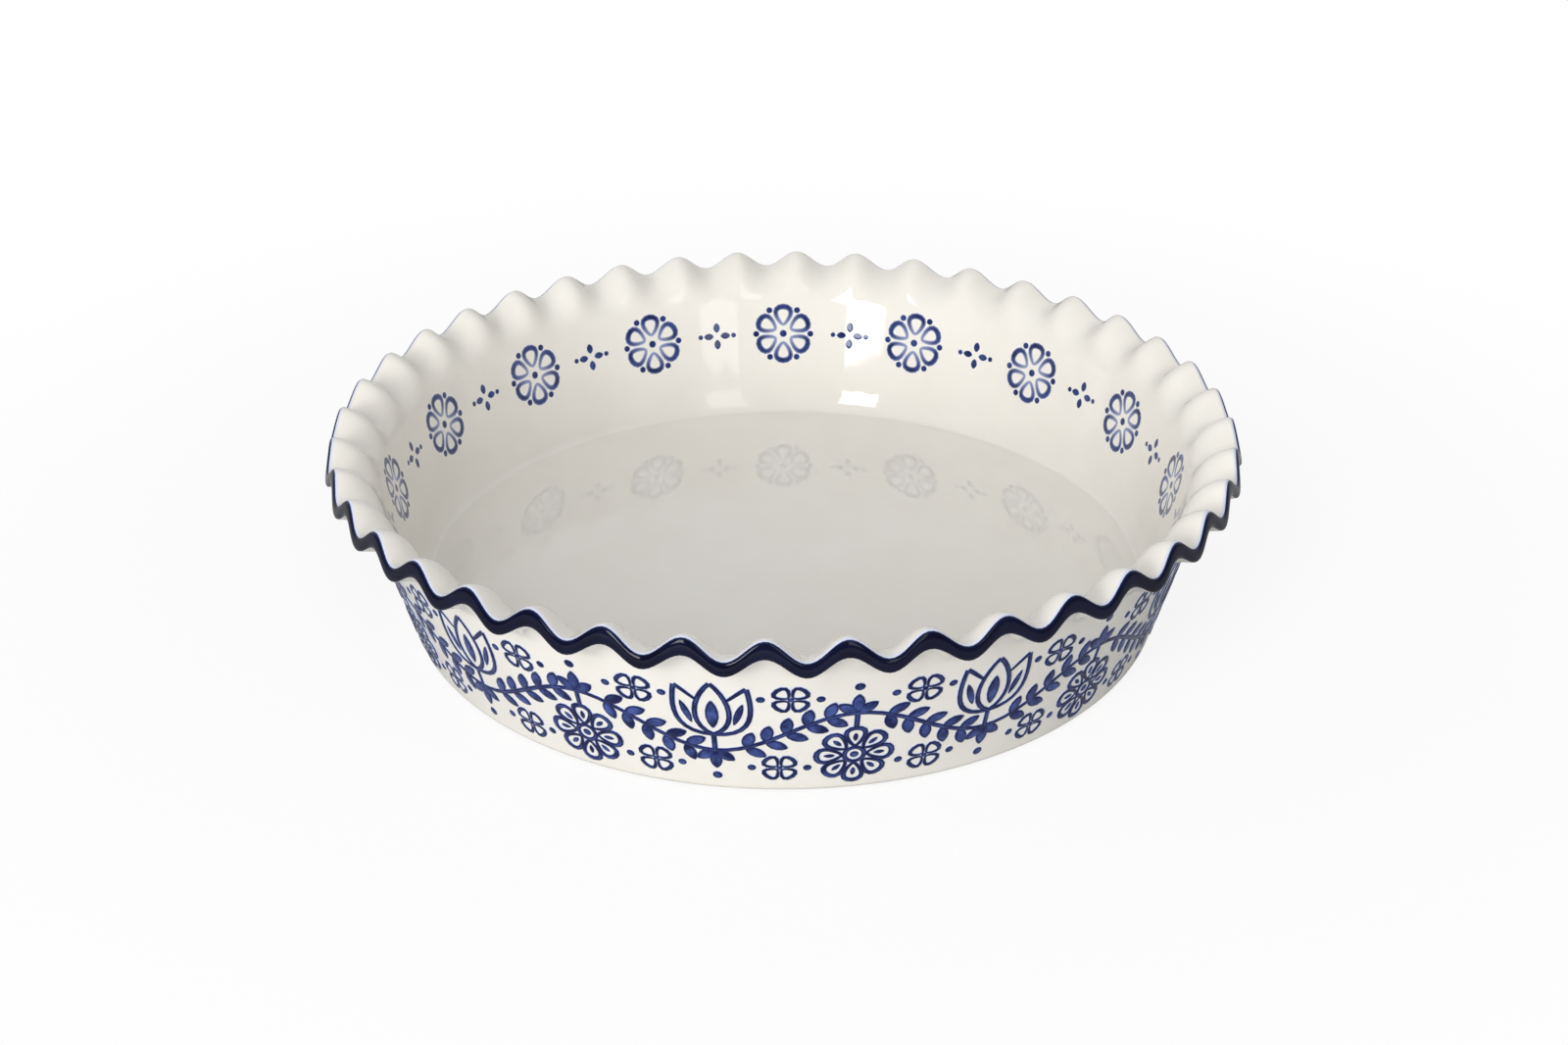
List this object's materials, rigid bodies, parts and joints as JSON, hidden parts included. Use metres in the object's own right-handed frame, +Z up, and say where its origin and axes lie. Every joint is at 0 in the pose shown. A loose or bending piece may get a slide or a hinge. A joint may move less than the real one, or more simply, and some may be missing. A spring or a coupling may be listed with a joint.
{
  "type": "round baking dish",
  "caption": "Deep round stoneware baking dish with a flat floor, leaning wall and flared, fluted lip, glazed white inside and out with a cobalt edge.",
  "frame": {"origin": "middle of the foot ring, on the surface that the dish stands on", "axes": "+Z up along the dish's axis, -Y towards the viewer of the picture, +X to the viewer's right"},
  "size_m": [0.2716, 0.2716, 0.0592],
  "materials": {
    "bare_stoneware": "matt fired clay",
    "white_glaze": "glossy warm white glaze",
    "cobalt_glaze": "glossy dark cobalt glaze"
  },
  "bodies": {
    "root": {"stoneware_body": "bare_stoneware", "inner_glaze": "white_glaze", "outer_glaze": "white_glaze", "base_glaze": "white_glaze", "rim_glaze": "cobalt_glaze"}
  },
  "joints": []
}
